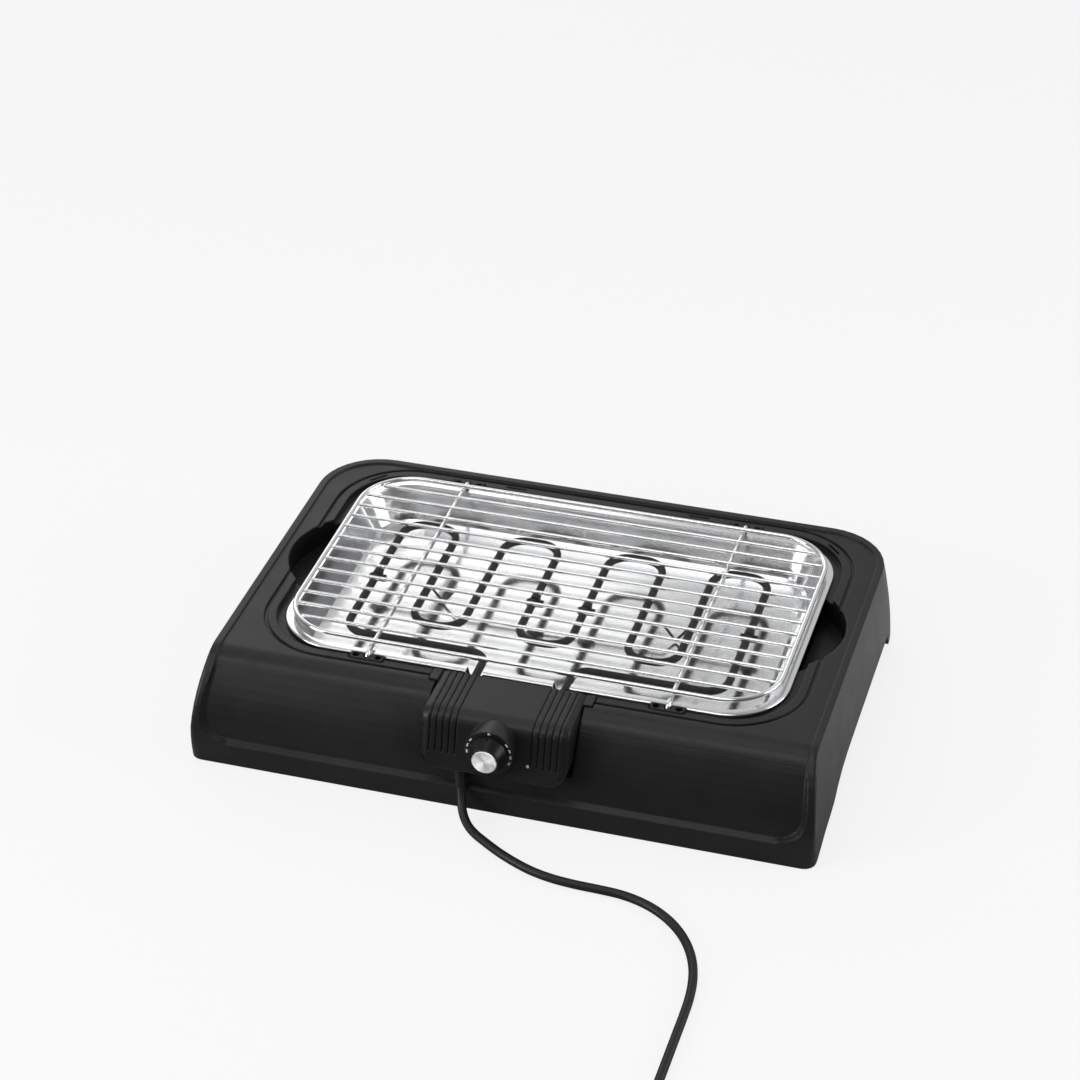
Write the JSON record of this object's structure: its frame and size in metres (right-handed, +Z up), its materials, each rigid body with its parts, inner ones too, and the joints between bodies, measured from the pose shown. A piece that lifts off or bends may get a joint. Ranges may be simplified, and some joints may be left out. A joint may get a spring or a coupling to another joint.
{
  "type": "electric tabletop grill",
  "caption": "Open tabletop electric grill: moulded base with a well, bright drip tray, looped tubular element with a plug-on control box and knob, and a lift-off wire rack.",
  "frame": {"origin": "middle of the footprint of the object without its lead, on the table", "axes": "+X to the right, +Y to the back, +Z up; the control box and knob are in front, at -Y"},
  "size_m": [0.509, 0.7668, 0.093],
  "materials": {
    "housing_plastic": "fine matt texture",
    "plate_plastic": "matt",
    "foot_rubber": "matt",
    "tray_metal": "bright rolled",
    "element_sheath": "dark oxide",
    "support_steel": "heat-browned",
    "flange_steel": "satin",
    "box_plastic": "fine matt texture",
    "insulator": "matt",
    "lamp_lens": "gloss",
    "cord_rubber": "satin",
    "pin_brass": "plated",
    "knob_plastic": "satin",
    "cap_aluminium": "spun",
    "rack_chrome": "bright"
  },
  "bodies": {
    "base": {"base_housing": "housing_plastic", "base_plate": "plate_plastic", "foot_1": "foot_rubber", "foot_2": "foot_rubber", "foot_3": "foot_rubber", "foot_4": "foot_rubber", "rack_support_1": "housing_plastic", "rack_support_2": "housing_plastic", "rack_support_3": "housing_plastic", "rack_support_4": "housing_plastic"},
    "tray": {"reflector_tray": "tray_metal"},
    "heater": {"heating_element": "element_sheath", "element_support_wire": "support_steel", "element_clip_1": "support_steel", "element_clip_2": "support_steel", "element_clip_3": "support_steel", "element_clip_4": "support_steel", "element_flange": "flange_steel", "box_shell": "box_plastic", "box_base": "box_plastic", "thermostat": "insulator", "terminal_block": "insulator", "pilot_lamp": "lamp_lens", "strain_relief": "cord_rubber", "cord_run": "cord_rubber", "cord_coil": "cord_rubber", "coil_tie": "cord_rubber", "plug_body": "cord_rubber", "plug_pin_1": "pin_brass", "plug_pin_2": "pin_brass"},
    "knob": {"knob": "knob_plastic", "knob_cap": "cap_aluminium", "knob_shaft": "flange_steel"},
    "rack": {"rack_frame": "rack_chrome", "cross_wire_1": "rack_chrome", "cross_wire_2": "rack_chrome", "rack_leg_1": "rack_chrome", "rack_leg_2": "rack_chrome", "rack_leg_3": "rack_chrome", "rack_leg_4": "rack_chrome", "rack_bar_1": "rack_chrome", "rack_bar_2": "rack_chrome", "rack_bar_3": "rack_chrome", "rack_bar_4": "rack_chrome", "rack_bar_5": "rack_chrome", "rack_bar_6": "rack_chrome", "rack_bar_7": "rack_chrome", "rack_bar_8": "rack_chrome", "rack_bar_9": "rack_chrome", "rack_bar_10": "rack_chrome", "rack_bar_11": "rack_chrome", "rack_bar_12": "rack_chrome", "rack_bar_13": "rack_chrome"}
  },
  "joints": [
    {"name": "tray_lift", "type": "slide", "parent": "base", "child": "tray", "axis": [0, 0, 1], "range_m": [0, 0.05]},
    {"name": "heater_lift", "type": "slide", "parent": "tray", "child": "heater", "axis": [0, 0, 1], "range_m": [0, 0.06]},
    {"name": "rack_lift", "type": "slide", "parent": "heater", "child": "rack", "axis": [0, 0, 1], "range_m": [0, 0.04]},
    {"name": "knob_turn", "type": "hinge", "parent": "heater", "child": "knob", "pos_m": [0, -0.18, 0.067], "axis": [0, 1, 0], "range_deg": [0, 300]}
  ]
}
